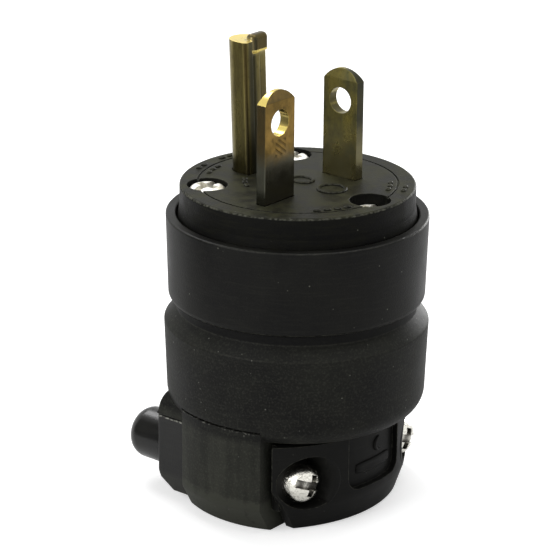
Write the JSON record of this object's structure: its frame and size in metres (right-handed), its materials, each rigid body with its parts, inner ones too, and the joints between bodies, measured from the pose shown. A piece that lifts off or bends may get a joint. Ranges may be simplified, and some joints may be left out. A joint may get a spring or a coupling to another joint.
{
  "type": "grounded plug",
  "caption": "Straight grounded electrical plug with flat blades, the neutral blade turned sideways, a U-folded ground pin and a screwed cord clamp.",
  "frame": {"origin": "on the plug's axis at the cord end, where the plug stands", "axes": "+Z along the plug's axis from the cord end to the blades, +Y towards the ground pin, +X towards the blade that isn't turned"},
  "size_m": [0.0384, 0.0396, 0.0675],
  "materials": {
    "face_plastic": "matte",
    "ring_plastic": "matte",
    "shell_plastic": "matte",
    "clamp_plastic": "satin",
    "blade_brass": "dull, aged",
    "insert_brass": "plain",
    "screw_steel": "bright plated"
  },
  "bodies": {
    "root": {"face_insert": "face_plastic", "front_ring": "ring_plastic", "terminal_block": "ring_plastic", "rear_shell": "shell_plastic", "front_clamp": "clamp_plastic", "rear_clamp": "clamp_plastic", "hot_blade": "blade_brass", "neutral_blade": "blade_brass", "ground_pin": "blade_brass", "assembly_screw_1": "screw_steel", "shell_insert_1": "insert_brass", "assembly_screw_2": "screw_steel", "shell_insert_2": "insert_brass", "assembly_screw_3": "screw_steel", "shell_insert_3": "insert_brass", "hot_terminal_screw": "screw_steel", "hot_pressure_plate": "insert_brass", "neutral_terminal_screw": "screw_steel", "neutral_pressure_plate": "insert_brass", "ground_terminal_screw": "screw_steel", "ground_pressure_plate": "insert_brass", "clamp_screw_left": "screw_steel", "clamp_insert_left": "insert_brass", "clamp_screw_right": "screw_steel", "clamp_insert_right": "insert_brass"}
  },
  "joints": []
}
